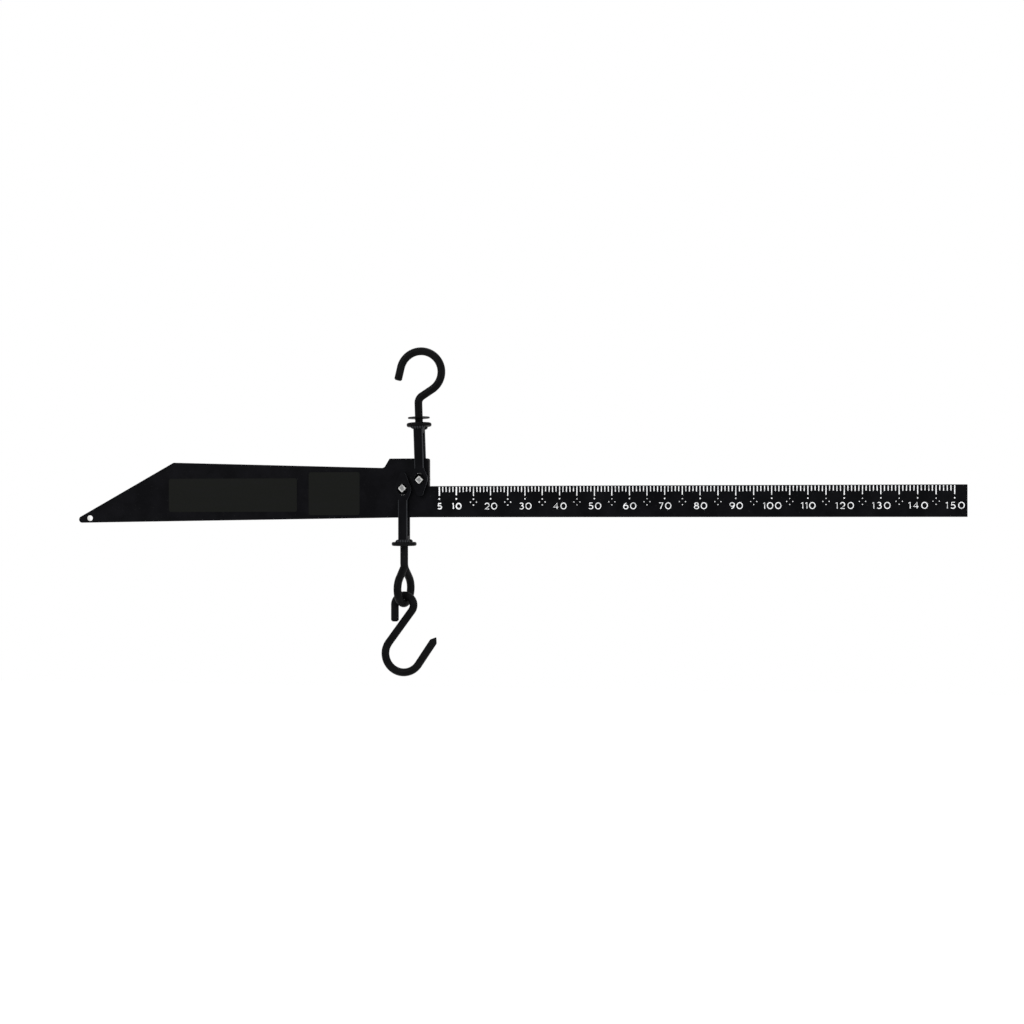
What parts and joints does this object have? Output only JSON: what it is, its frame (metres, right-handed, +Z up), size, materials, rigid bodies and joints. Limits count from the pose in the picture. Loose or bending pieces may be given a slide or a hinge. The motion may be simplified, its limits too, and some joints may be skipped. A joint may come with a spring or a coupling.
{
  "type": "hanging beam scale",
  "caption": "Hanging steelyard beam scale: swivelling top hook, graduated bar with flat counterweight on knife edges, and a load stirrup with swivel eye and S hook.",
  "frame": {"origin": "the inner crown of the top hook, where the scale hangs", "axes": "+Z up along the line of pull, +X along the graduated arm towards its free end, +Y away from the viewer, through the beam's thickness"},
  "size_m": [0.9031, 0.0378, 0.3371],
  "materials": {
    "black_enamel": "satin black enamel on steel",
    "zinc_steel": "dull zinc plating",
    "blackened_steel": "turned and oil-blackened",
    "ground_steel": "hardened and ground",
    "label_foil": "satin black label film, left blank"
  },
  "bodies": {
    "hook": {"upper_hook": "black_enamel", "upper_stop_washer": "black_enamel", "upper_swivel_head": "blackened_steel"},
    "upper_washer": {"upper_thrust_washer": "zinc_steel"},
    "upper_yoke": {"upper_yoke_disc": "black_enamel", "upper_front_cheek": "black_enamel", "upper_rear_cheek": "black_enamel", "upper_yoke_welds": "black_enamel"},
    "beam": {"beam_plate": "black_enamel", "backing_plate": "black_enamel", "backing_plug_welds": "black_enamel", "fulcrum_knife": "ground_steel", "load_knife": "ground_steel", "name_label": "label_foil", "capacity_label": "label_foil"},
    "lower_yoke": {"lower_yoke_disc": "black_enamel", "lower_front_cheek": "black_enamel", "lower_rear_cheek": "black_enamel", "lower_yoke_welds": "black_enamel"},
    "lower_washer": {"lower_thrust_washer": "zinc_steel"},
    "eye": {"swivel_eye": "black_enamel", "lower_swivel_head": "blackened_steel"},
    "load_hook": {"s_hook": "black_enamel"}
  },
  "joints": [
    {"name": "hook_swivel", "type": "hinge", "parent": "hook", "child": "upper_washer", "pos_m": [0, 0, -0.1323], "axis": [-0.0304, 0, 0.9995], "continuous": true},
    {"name": "hook_float", "type": "slide", "parent": "upper_washer", "child": "upper_yoke", "axis": [-0.0304, 0, 0.9995], "range_m": [0, 0.0045]},
    {"name": "beam_tilt", "type": "hinge", "parent": "upper_yoke", "child": "beam", "pos_m": [0, 0, -0.1323], "axis": [0, 1, 0], "range_deg": [-10, 10]},
    {"name": "load_swing", "type": "hinge", "parent": "beam", "child": "lower_yoke", "pos_m": [-0.0175, 0, -0.1323], "axis": [0, 1, 0], "range_deg": [-10, 10]},
    {"name": "eye_swivel", "type": "hinge", "parent": "lower_yoke", "child": "lower_washer", "pos_m": [-0.0175, 0, -0.1323], "axis": [0, 0, 1], "continuous": true},
    {"name": "eye_lift", "type": "slide", "parent": "lower_washer", "child": "eye", "axis": [0, 0, 1], "range_m": [0, 0.017]},
    {"name": "s_hook_swing", "type": "hinge", "parent": "eye", "child": "load_hook", "pos_m": [-0.0175, 0, -0.2543], "axis": [0.2588, 0.9659, 0], "range_deg": [-40, 40]}
  ]
}
